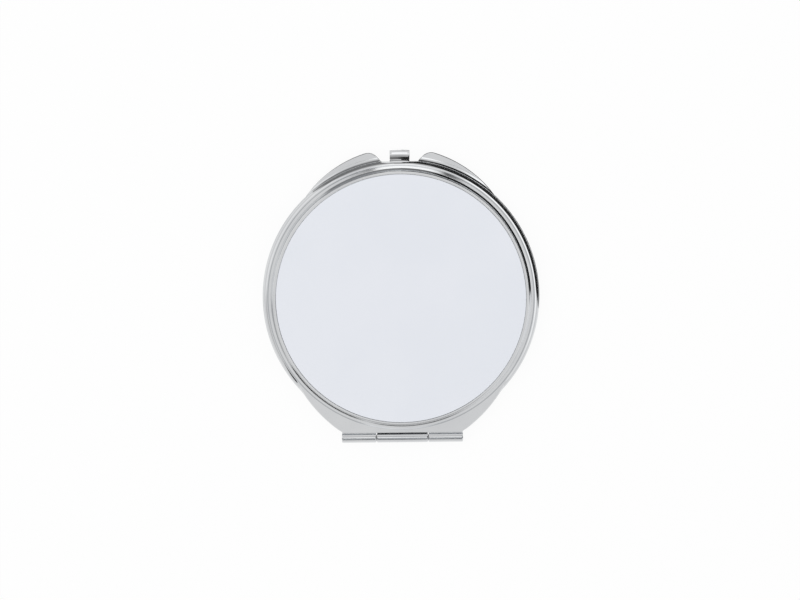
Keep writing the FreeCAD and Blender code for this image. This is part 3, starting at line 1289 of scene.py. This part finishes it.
@dataclass
class Inlays:
    """What is set into the halves: the insert and its film, the two mirrors and their foam."""

    insert_radius: float
    insert_top: float
    film_low: float
    mirror_radius: float = 28.4
    mirror_thickness: float = 1.2
    mirror_face: float = 0.45
    curvature: float = 620.0
    pad_radius: float = 27.8
    pad_ring: float = 22.5
    pad_edge: float = 0.12
    ring_softness: float = 1 / 3
    film_thickness: float = 0.1
    film_inset: float = 0.15
    film_edge: float = 0.03
    overfill: float = 0.1
    edge: float = 0.05
    edge_steps: int = 5
    support: float = 0.05
    bowl_rings: int = 24
    turn_steps: int = 240

    def lens(self, path: Sequence[Corner]) -> bmesh.types.BMesh:
        """A solid turned from a section that starts and ends on the axis or closes on itself.

        Args:
            path: the section's corners.

        Returns:
            The mesh.
        """
        mesh = bmesh.new()
        turned(mesh, path, self.turn_steps)
        return mesh

    def slab(self, radius: float, low: float, high: float, edge: float) -> bmesh.types.BMesh:
        """A disc between two levels with its edges rounded.

        Args:
            radius: its radius.
            low: its lower face.
            high: its upper face.
            edge: the rounding.

        Returns:
            The mesh.
        """
        support = radius - edge - self.support
        return self.lens([
            Corner(0.0, low),
            Corner(support, low),
            Corner(radius, low, edge, self.edge_steps),
            Corner(radius, high, edge, self.edge_steps),
            Corner(support, high),
            Corner(0.0, high),
        ])

    def bowl(self, radius: float) -> float:
        """How far the magnifying mirror dips at a radius, measured from its edge."""
        full = self.curvature - math.sqrt(self.curvature ** 2 - self.mirror_radius ** 2)
        return full - (self.curvature - math.sqrt(self.curvature ** 2 - radius ** 2))

    def magnifier(self) -> bmesh.types.BMesh:
        """The concave mirror: two parallel bowls, joined at the edge.

        Returns:
            The mesh.
        """
        rings = self.bowl_rings
        radii = [self.mirror_radius * step / rings for step in range(rings + 1)]
        front = [Corner(radius, self.mirror_face + self.bowl(radius)) for radius in radii]
        back = [Corner(corner.across, corner.up + self.mirror_thickness) for corner in reversed(front)]
        return self.lens(front + back)

    def ring(self, inner: float, outer: float, low: float, high: float) -> bmesh.types.BMesh:
        """A flat ring with softly rounded edges.

        Args:
            inner: its inner radius.
            outer: its outer radius.
            low: its lower face.
            high: its upper face.

        Returns:
            The mesh.
        """
        middle = (inner + outer) / 2
        soft = (high - low) * self.ring_softness
        rounded = [
            Corner(across, up, soft, self.edge_steps)
            for across, up in ((outer, low), (outer, high), (inner, high), (inner, low))
        ]
        return self.lens([Corner(middle, low), *rounded, Corner(middle, low)])

    def build(self, lid: Half, base: Half, looks: "Looks") -> None:
        """Makes the inlays of both halves.

        Args:
            lid: the upper half.
            base: the lower half.
            looks: the materials.
        """
        rise = lid.parting
        disc_low = self.film_low + self.film_thickness
        disc = self.slab(self.insert_radius + self.overfill, disc_low, self.insert_top - rise, self.edge)
        as_piece(lid.place(disc), "insert", looks.white, ["insert_disc"], lid.body)
        film = self.slab(self.insert_radius - self.film_inset, self.film_low, disc_low, self.film_edge)
        as_piece(lid.place(film), "insert_film", looks.film, ["insert_tape"], lid.body)

        back = self.mirror_face + self.mirror_thickness
        plain = self.slab(self.mirror_radius, self.mirror_face, back, self.edge)
        as_piece(lid.place(plain), "plain_mirror", looks.silver, ["lid_mirror"], lid.body)
        as_piece(
            base.place(self.magnifier()), "magnifying_mirror", looks.silver,
            ["base_mirror"], base.body,
        )
        _, pad_top = node_box("lid_mirror_pad")
        pad = self.slab(self.pad_radius, back, pad_top.z - rise, self.pad_edge)
        lid_pad = as_piece(lid.place(pad), "lid_foam", looks.foam, ["lid_mirror_pad"], lid.body)
        low, high = node_box("base_mirror_pad")
        ring = self.ring(self.pad_ring, self.pad_radius, rise - high.z, rise - low.z)
        base_pad = as_piece(
            base.place(ring), "base_foam", looks.foam, ["base_mirror_pad"], base.body,
        )


@dataclass
class Hinge:
    """The rolled hinge: two leaves, their knuckles and the pin."""

    axis: Vector
    barrel: float = 1.1
    half_length: float = 14.2
    middle_half: float = 6.0
    gap: float = 0.1
    end_rounding: float = 0.28
    rounding_steps: int = 5
    bore: float = 0.64
    pin: float = 0.6
    pin_rounding: float = 0.2
    pin_steps: int = 32
    leaf_low: float = 0.475
    leaf_thickness: float = 0.4
    leaf_inner: float = -29.0
    leaf_outer: float = -31.05
    leaf_half: float = 12.9
    leaf_edge: float = 0.06
    leaf_segments: int = 2
    strap_lap: float = 0.2
    strap_inset: float = 0.06
    strap_low: float = 0.02
    strap_dip: float = 0.15
    strap_top: float = 0.97
    strap_reach: float = 0.92
    strap_gap: float = 0.1
    strap_sink: float = 0.48
    strap_rounding: float = 0.1
    dip_depth: float = 0.12
    seam_depth: float = 0.3
    barrel_steps: int = 48

    def spans(self, body: Body) -> list[tuple[float, float]]:
        """The X spans of a body's knuckles.

        Args:
            body: the body.

        Returns:
            The lower and higher X of each.
        """
        if body is Body.BASE:
            return [(-self.middle_half, self.middle_half)]
        inner = self.middle_half + self.gap
        return [(-self.half_length, -inner), (inner, self.half_length)]

    def knuckle(self, mesh: bmesh.types.BMesh, low: float, high: float) -> None:
        """Adds a knuckle: a tube with rounded ends and a seam along its crown.

        Args:
            mesh: the mesh to add it to.
            low: its lower X.
            high: its higher X.
        """
        known = set(mesh.verts)
        rounding = self.end_rounding
        section = [
            Corner(low, self.bore),
            Corner(low, self.barrel, rounding),
            Corner(high, self.barrel, rounding),
            Corner(high, self.bore),
            Corner(low, self.bore),
        ]
        pen = Pen(mesh, Plane.SECTION, Plane.SECTION.point(low, self.bore))
        pen.corners(section)
        pen.revolve((1, 0, 0), self.barrel_steps)
        made = [vert for vert in mesh.verts if vert not in known]
        half_step = math.pi / self.barrel_steps
        for vert in made:
            lean = abs(math.atan2(vert.co.y, abs(vert.co.z)))
            if lean < half_step and math.hypot(vert.co.y, vert.co.z) > self.bore + self.seam_depth:
                vert.co.z -= math.copysign(self.seam_depth, vert.co.z)
        bmesh.ops.translate(mesh, vec=(0.0, self.axis.y, 0.0), verts=made)

    def leaf(self, mesh: bmesh.types.BMesh) -> None:
        """Adds the flat strip of a leaf, with softened edges.

        Args:
            mesh: the mesh to add it to.
        """
        along = (self.leaf_outer + self.leaf_inner) / 2
        middle = Vector((0.0, along, self.leaf_low + self.leaf_thickness / 2))
        size = Vector((2 * self.leaf_half, self.leaf_inner - self.leaf_outer, self.leaf_thickness, 1.0))
        place = Matrix.Translation(middle) @ Matrix.Diagonal(size)
        made = bmesh.ops.create_cube(mesh, size=1.0, matrix=place)
        edges = list(dict.fromkeys(edge for vert in made["verts"] for edge in vert.link_edges))
        bmesh.ops.bevel(
            mesh, geom=edges, offset=self.leaf_edge, offset_type="OFFSET", segments=self.leaf_segments,
            profile=0.5, affect="EDGES", material=-1,
        )

    def strap(self, mesh: bmesh.types.BMesh, low: float, high: float) -> None:
        """Adds the strap that dips under the pan's rim and rises into a knuckle with two flat cheeks.

        Args:
            mesh: the mesh to add it to.
            low: its lower X.
            high: its higher X.
        """
        known = set(mesh.verts)
        inner = self.leaf_outer + self.strap_lap
        riser = self.axis.y + self.strap_reach
        bend = riser + self.strap_dip + self.strap_gap
        hidden = self.axis.y + self.strap_sink
        pen = Pen(mesh, Plane.SIDE, Plane.SIDE.point(inner, self.strap_low))
        pen.corners([
            Corner(inner, self.strap_low),
            Corner(inner, self.leaf_low + self.strap_dip),
            Corner(bend, self.leaf_low + self.strap_dip),
            Corner((bend + riser) / 2, self.leaf_low - self.dip_depth),
            Corner(riser, self.leaf_low + self.strap_dip),
            Corner(riser, self.strap_top, self.strap_rounding, self.rounding_steps),
            Corner(hidden, self.strap_top),
            Corner(hidden, -self.strap_top),
            Corner(riser, -self.strap_top, self.strap_rounding, self.rounding_steps),
            Corner(riser, -self.dip_depth),
            Corner((bend + riser) / 2, self.dip_depth),
            Corner(bend, -self.dip_depth),
            Corner(inner, self.strap_low),
        ])
        bmesh.ops.remove_doubles(mesh, verts=[pen.tip, pen.first], dist=RING_REACH)
        outline = [edge for edge in mesh.edges if all(vert not in known for vert in edge.verts)]
        bmesh.ops.contextual_create(mesh, geom=outline)
        side = [face for face in mesh.faces if all(vert not in known for vert in face.verts)]
        bmesh.ops.translate(mesh, vec=(low, 0.0, 0.0), verts=list(side[0].verts))
        grown = bmesh.ops.extrude_face_region(mesh, geom=side, use_keep_orig=True)
        moved = [item for item in grown["geom"] if isinstance(item, bmesh.types.BMVert)]
        bmesh.ops.translate(mesh, vec=(high - low, 0.0, 0.0), verts=moved)

    def wire(self) -> bmesh.types.BMesh:
        """The pin: a wire with rounded ends.

        Returns:
            The mesh.
        """
        mesh = bmesh.new()
        end = self.half_length
        pen = Pen(mesh, Plane.SECTION, Plane.SECTION.point(-end, 0.0))
        pen.corners([
            Corner(-end, 0.0),
            Corner(-end, self.pin, self.pin_rounding, self.rounding_steps),
            Corner(end, self.pin, self.pin_rounding, self.rounding_steps),
            Corner(end, 0.0),
        ])
        pen.revolve((1, 0, 0), self.pin_steps)
        bmesh.ops.translate(mesh, vec=(0.0, self.axis.y, 0.0), verts=mesh.verts[:])
        return mesh

    def build(self, lid: Half, base: Half, looks: "Looks") -> None:
        """Makes both leaves and the pin.

        Args:
            lid: the upper half.
            base: the lower half.
            looks: the materials.
        """
        for half in (lid, base):
            mesh = bmesh.new()
            self.leaf(mesh)
            for low, high in self.spans(half.body):
                self.knuckle(mesh, low, high)
                self.strap(mesh, low + self.strap_inset, high - self.strap_inset)
            name = half.body.value
            as_piece(
                half.place(mesh), f"{name}_knuckles", looks.hinge,
                [f"{name}_hinge_leaf"], half.body,
            )
        as_piece(lid.place(self.wire()), "hinge_wire", looks.steel, ["hinge_pin"], lid.body)


@dataclass
class Latch:
    """The spring latch: a strip from inside the lid, down past the rims, under the base, out to a lip."""

    pivot: Vector
    tip: float
    width: float = 4.6
    strip: float = 0.3
    root: float = 28.75
    shoulder: float = 0.32
    drop: float = 1.0
    turn_in: float = math.radians(50.0)
    turn_in_radius: float = 0.5
    nose_run: float = 0.35
    nose_radius: float = 0.3
    nose_exit: float = math.radians(50.0)
    curl: float = 2.85
    lip: float = math.radians(4.0)
    edge: float = 0.06
    edge_segments: int = 3
    bow: float = 0.016
    bow_cuts: int = 9
    bend_steps: int = 8
    nose_steps: int = 10
    curl_steps: int = 12
    flex_reach: float = 0.35

    def side(self, mesh: bmesh.types.BMesh, level: float, offset: float) -> list[bmesh.types.BMEdge]:
        """Draws one face of the strip in side view.

        Args:
            mesh: the mesh to draw into.
            level: the height of the strip's middle where it leaves the lid.
            offset: how far the face lies to the left of the strip's middle.

        Returns:
            The drawn edges.
        """
        pen = Pen(mesh, Plane.SIDE, Vector((0.0, self.root, level + offset)))
        heading = 0.0

        def run(length: float) -> None:
            """A straight run."""
            pen.line(pen.tip.co + length * Vector((0.0, math.cos(heading), math.sin(heading))))

        def turn(angle: float, radius: float, steps: int) -> None:
            """A tangent bend of the strip's middle.

            Args:
                angle: how far it turns, upwards if positive.
                radius: the radius of the strip's middle.
                steps: how many edges it has.
            """
            nonlocal heading
            left = Vector((0.0, -math.sin(heading), math.cos(heading)))
            reach = radius if angle > 0 else -radius
            pen.spin(pen.tip.co + left * (reach - offset), angle, steps)
            heading += angle

        run(self.pivot.y - self.root)
        turn(-math.pi / 2, self.shoulder, self.bend_steps)
        run(self.drop)
        turn(-self.turn_in, self.turn_in_radius, self.bend_steps)
        run(self.nose_run)
        turn(math.pi / 2 + self.turn_in - self.nose_exit, self.nose_radius, self.nose_steps)
        turn(self.nose_exit + self.lip, self.curl, self.curl_steps)
        far = self.tip - self.strip / 2 - offset * math.sin(heading)
        run((far - pen.tip.co.y) / math.cos(heading))
        return pen.edges

    def build(self, lid: Half, looks: "Looks") -> None:
        """Makes the strip, drawn bent from inside the lid out to its lip.

        Args:
            lid: the upper half.
            looks: the materials.
        """
        mesh = bmesh.new()
        level = self.pivot.z - lid.parting
        half = self.strip / 2
        sides = [self.side(mesh, level, half), self.side(mesh, level, -half)]
        bmesh.ops.bridge_loops(mesh, edges=sides[0] + sides[1])
        bmesh.ops.translate(mesh, vec=(-self.width / 2, 0.0, 0.0), verts=mesh.verts[:])
        grown = bmesh.ops.extrude_face_region(mesh, geom=mesh.faces[:], use_keep_orig=True)
        moved = [item for item in grown["geom"] if isinstance(item, bmesh.types.BMVert)]
        bmesh.ops.translate(mesh, vec=(self.width, 0.0, 0.0), verts=moved)
        closed(mesh)
        sharp = [edge for edge in mesh.edges if edge.calc_face_angle(0.0) > SHARP_ANGLE]
        bmesh.ops.bevel(
            mesh, geom=sharp, offset=self.edge, offset_type="OFFSET", segments=self.edge_segments,
            profile=0.5, affect="EDGES", material=-1,
        )
        across = []
        for edge in mesh.edges:
            first, second = edge.verts
            if abs(first.co.x - second.co.x) > self.width / 2:
                across.append(edge)
        bmesh.ops.subdivide_edges(mesh, edges=across, cuts=self.bow_cuts, use_grid_fill=True)
        for vert in mesh.verts:
            if vert.co.y > self.pivot.y:
                vert.co.y -= self.bow * vert.co.x ** 2
        piece = as_piece(
            lid.place(mesh), "latch_spring", looks.latch, ["latch_root", "latch_tongue"],
        )
        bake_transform(piece)


HINGE_LINES = (900.0, 9000.0, 9000.0)


@dataclass
class Looks:
    """The materials of the compact."""

    chrome: bpy.types.Material
    hinge: bpy.types.Material
    latch: bpy.types.Material
    white: bpy.types.Material
    silver: bpy.types.Material
    steel: bpy.types.Material
    foam: bpy.types.Material
    film: bpy.types.Material

    @classmethod
    def make(cls) -> "Looks":
        """The finishes as materials.

        Returns:
            The set of them.
        """
        return cls(
            chrome=PlatedChrome("plated_chrome").material(),
            hinge=PlatedChrome("hinge_plate", roughness=0.06, line_scale=HINGE_LINES).material(),
            latch=PlatedChrome("latch_plate", roughness=0.05).material(),
            white=CoatedWhite("satin_white").material(),
            silver=SilveredGlass("silvered_glass").material(),
            steel=DrawnSteel("drawn_steel").material(),
            foam=AdhesiveFoam("adhesive_foam").material(),
            film=AdhesiveFilm("adhesive_film").material(),
        )


@dataclass(frozen=True)
class Panel:
    """A patch of the light tent: its brightness, its compass direction and its tilt from straight up.

    The angles are in degrees.
    """

    level: float
    compass: float
    half_width: float
    tilt_low: float
    tilt_high: float
    soft: float = 4.0
    tilt_soft: float = 3.0

    def mask(self, graph: Graph, direction: Sock) -> Sock:
        """Where the panel lies.

        Args:
            graph: the world's graph.
            direction: the direction that a ray looks in.

        Returns:
            A mask from 0 to 1.
        """
        level = graph.vector("MULTIPLY", direction, (1.0, 1.0, 0.0))
        turn = math.radians(self.compass)
        towards = (math.cos(turn), math.sin(turn), 0.0)
        dot = graph.vector("DOT_PRODUCT", graph.vector("NORMALIZE", level), towards, output="Value")
        wide = math.cos(math.radians(min(self.half_width + self.soft, 180.0)))
        narrow = math.cos(math.radians(max(self.half_width - self.soft, 0.0)))
        height = graph.node("ShaderNodeSeparateXYZ", None, {0: direction}, output="Z")
        below = height.step(self.upward(self.tilt_high, 1), self.upward(self.tilt_high, -1))
        above = height.step(self.upward(self.tilt_low, 1), self.upward(self.tilt_low, -1))
        return dot.step(wide, narrow) * below * (1.0 - above)

    def upward(self, tilt: float, side: int) -> float:
        """The upward part of a direction to one side of a soft edge at a tilt."""
        return math.cos(math.radians(max(tilt + side * self.tilt_soft, 0.0)))


@dataclass(frozen=True)
class Spot:
    """An oval patch of the light tent overhead: its brightness and the level parts of its direction."""

    level: float
    across: float
    along: float
    half_across: float
    half_along: float
    soft: float = 0.25

    def mask(self, graph: Graph, direction: Sock) -> Sock:
        """Where the spot lies.

        Args:
            graph: the world's graph.
            direction: the direction that a ray looks in.

        Returns:
            A mask from 0 to 1.
        """
        offset = graph.vector("SUBTRACT", direction, (self.across, self.along, 0.0))
        shape = (1.0 / self.half_across, 1.0 / self.half_along, 0.0)
        distance = graph.vector("LENGTH", graph.vector("MULTIPLY", offset, shape), output="Value")
        return 1.0 - distance.step(1.0 - self.soft, 1.0 + self.soft)


@dataclass(frozen=True)
class Card:
    """A dark card on the floor: a sector by its start and sweep in degrees, and its grey."""

    name: str
    start: float
    sweep: float
    grey: float


CARDS = (
    Card("dark_card", start=-6.0, sweep=95.3, grey=0.015),
    Card("dim_card", start=97.0, sweep=33.0, grey=0.2),
)
TENT_TOP = 0.86
TENT = (
    Panel(level=1.05, compass=158, half_width=36, tilt_low=22, tilt_high=46, soft=6, tilt_soft=4),
    Panel(level=1.0, compass=312, half_width=14, tilt_low=24, tilt_high=50, soft=6, tilt_soft=4),
    Panel(level=1.2, compass=342, half_width=16, tilt_low=24, tilt_high=50, soft=6, tilt_soft=4),
    Panel(level=0.12, compass=275, half_width=13, tilt_low=25, tilt_high=42, soft=5, tilt_soft=2),
    Panel(level=0.45, compass=275, half_width=15, tilt_low=12.8, tilt_high=16.5, soft=4, tilt_soft=1),
    Panel(level=0.62, compass=206, half_width=12, tilt_low=22, tilt_high=44, soft=4, tilt_soft=3),
    Panel(level=0.02, compass=239, half_width=16, tilt_low=22, tilt_high=48, soft=3, tilt_soft=2),
    Panel(level=1.4, compass=14, half_width=38, tilt_low=13.5, tilt_high=34, soft=3, tilt_soft=1.5),
    Panel(level=0.22, compass=108, half_width=22, tilt_low=45, tilt_high=105, soft=4, tilt_soft=3),
    Panel(level=0.02, compass=40, half_width=50, tilt_low=36, tilt_high=130, soft=2, tilt_soft=2),
    Panel(level=0.5, compass=98, half_width=25, tilt_low=31, tilt_high=48, soft=4, tilt_soft=2),
    Spot(level=1.35, across=0.01, along=0.19, half_across=0.075, half_along=0.16, soft=0.15),
    Spot(level=0.06, across=0.081, along=0.061, half_across=0.0145, half_along=0.02, soft=0.3),
    Spot(level=0.08, across=-0.0585, along=0.0685, half_across=0.016, half_along=0.02, soft=0.3),
)


@dataclass
class Studio:
    """The white floor, the light tent, a soft key lamp and the camera."""

    target: Triple = (-0.235, -0.24, 6.21)
    tilt: float = math.radians(7.8)
    roll: float = math.radians(-0.6)
    lens: float = 150.0
    sensor: float = 36.0
    frame_width: float = 185.9
    nearest: float = 0.01
    furthest: float = 20.0
    floor_size: float = 3.0
    floor_grey: float = 0.9
    floor_glow: float = 0.92
    ambient: float = 0.86
    key_power: float = 1.6
    key_size: float = 0.7
    key_place: Triple = (-0.35, 0.3, 0.9)
    card_inner: float = 33.0
    card_outer: float = 220.0
    card_level: float = 0.05
    card_steps: int = 32

    def camera(self) -> None:
        """A long lens, tilted a little to the latch's side."""
        data = bpy.data.cameras.new("camera")
        data.lens = self.lens
        data.sensor_width = self.sensor
        data.clip_start = self.nearest
        data.clip_end = self.furthest
        camera = bpy.data.objects.new("camera", data)
        bpy.context.scene.collection.objects.link(camera)
        distance = self.frame_width * MM * self.lens / self.sensor
        turn = Matrix.Rotation(self.roll, 3, "Z")
        back = turn @ Vector((0.0, math.sin(self.tilt), math.cos(self.tilt)))
        camera.location = Vector(self.target) * MM + distance * back
        camera.rotation_euler = (-self.tilt, 0.0, self.roll)
        bpy.context.scene.camera = camera

    def world(self) -> None:
        """White to the camera, a tent of bright and dark panels to metal, plain soft light to the rest."""
        world = bpy.data.worlds.new("light_tent")
        bpy.context.scene.world = world
        world.use_nodes = True
        graph = Graph(world.node_tree)
        direction = graph.node("ShaderNodeTexCoord", output="Generated")
        tent = TENT_TOP
        for patch in TENT:
            tent = tent + patch.mask(graph, direction) * (patch.level - tent)
        white = graph.ray("Camera").math("MAXIMUM", graph.ray("Transmission"))
        plain = self.ambient + graph.ray("Glossy") * (tent - self.ambient)
        strength = plain + white * (1.0 - plain)
        inputs = {"Color": (1.0, 1.0, 1.0, 1.0), "Strength": strength}
        background = graph.node("ShaderNodeBackground", None, inputs)
        graph.node("ShaderNodeOutputWorld", None, {"Surface": background})

    def floor(self) -> None:
        """A pale floor that looks white and keeps the object's shadow."""
        mesh = bmesh.new()
        bmesh.ops.create_grid(mesh, x_segments=2, y_segments=2, size=self.floor_size)
        material, graph = shade("pale_floor")
        seen = graph.ray("Camera").math("MAXIMUM", graph.ray("Transmission"))
        glow = graph.ray("Glossy").math("MAXIMUM", seen) * self.floor_glow
        grey = self.floor_grey
        paper = graph.node("ShaderNodeBsdfDiffuse", None, {"Color": (grey, grey, grey, 1.0)})
        white = graph.node("ShaderNodeEmission", None, {"Strength": 1.0})
        graph.surface(graph.node("ShaderNodeMixShader", None, {0: glow, 1: paper, 2: white}))
        linked(mesh, "floor", material)

    def card(self, card: Card) -> None:
        """Lays a dark card on the floor, which only metal sees.

        Args:
            card: the card.
        """
        mesh = bmesh.new()
        turn = Matrix.Rotation(math.radians(card.start), 3, "Z")
        pen = Pen(mesh, Plane.PLAN, turn @ Vector((self.card_inner * MM, 0.0, self.card_level * MM)))
        pen.line(turn @ Vector((self.card_outer * MM, 0.0, self.card_level * MM)))
        bmesh.ops.spin(
            mesh, geom=[pen.first, pen.tip] + pen.edges, cent=(0, 0, 0), axis=(0, 0, 1),
            angle=math.radians(card.sweep), steps=self.card_steps,
        )
        material, graph = shade(card.name)
        graph.surface(graph.node("ShaderNodeEmission", None, {"Strength": card.grey}))
        laid = linked(mesh, card.name, material)
        laid.visible_camera = False
        laid.visible_diffuse = False
        laid.visible_transmission = False
        laid.visible_shadow = False

    def key(self) -> None:
        """A large soft lamp overhead, to the upper left."""
        data = bpy.data.lights.new("key", "AREA")
        data.shape = "DISK"
        data.size = self.key_size
        data.energy = self.key_power
        lamp = bpy.data.objects.new("key", data)
        bpy.context.scene.collection.objects.link(lamp)
        lamp.location = self.key_place
        lamp.rotation_euler = (-lamp.location).to_track_quat("-Z", "Y").to_euler()
        lamp.visible_glossy = False

    def build(self) -> None:
        """Sets up the whole studio."""
        bpy.context.scene.view_settings.view_transform = "Standard"
        self.camera()
        self.world()
        self.floor()
        for card in CARDS:
            self.card(card)
        self.key()


def main() -> None:
    """Builds the studio and the compact, part by part."""
    logging.basicConfig(level=logging.INFO)
    looks = Looks.make()
    hinge_axis = joint_position("lid_hinge")
    parting = hinge_axis.z
    lid = Half(Body.LID, parting, up=True, rim_inset=0.2, burr=0.05)
    base = Half(Body.BASE, parting, up=False, rim_inset=0.0, burr=0.32)

    low, high = node_box("base_mirror_frame")
    _, insert_high = node_box("insert_disc")
    film_low, _ = node_box("insert_tape")
    inset = Case.frame_inset
    outline = PanOutline(rim=high.x + inset, flare=32.3, rear=inset - low.y, front=high.y + inset)
    case = Case(looks.chrome, outline, insert_high.x)
    ears = Ears(outline.rim - base.burr / 2, outline.front, case.flange, case.sheet, case.rim_edge)
    case.build(lid, base, ears)
    Inlays(insert_high.x, insert_high.z, film_low.z - parting).build(lid, base, looks)
    Hinge(hinge_axis).build(lid, base, looks)
    _, latch_high = node_box("latch_tongue")
    Latch(joint_position("latch_flex"), latch_high.y).build(lid, looks)
    Studio().build()


if __name__ == "__main__":
    main()
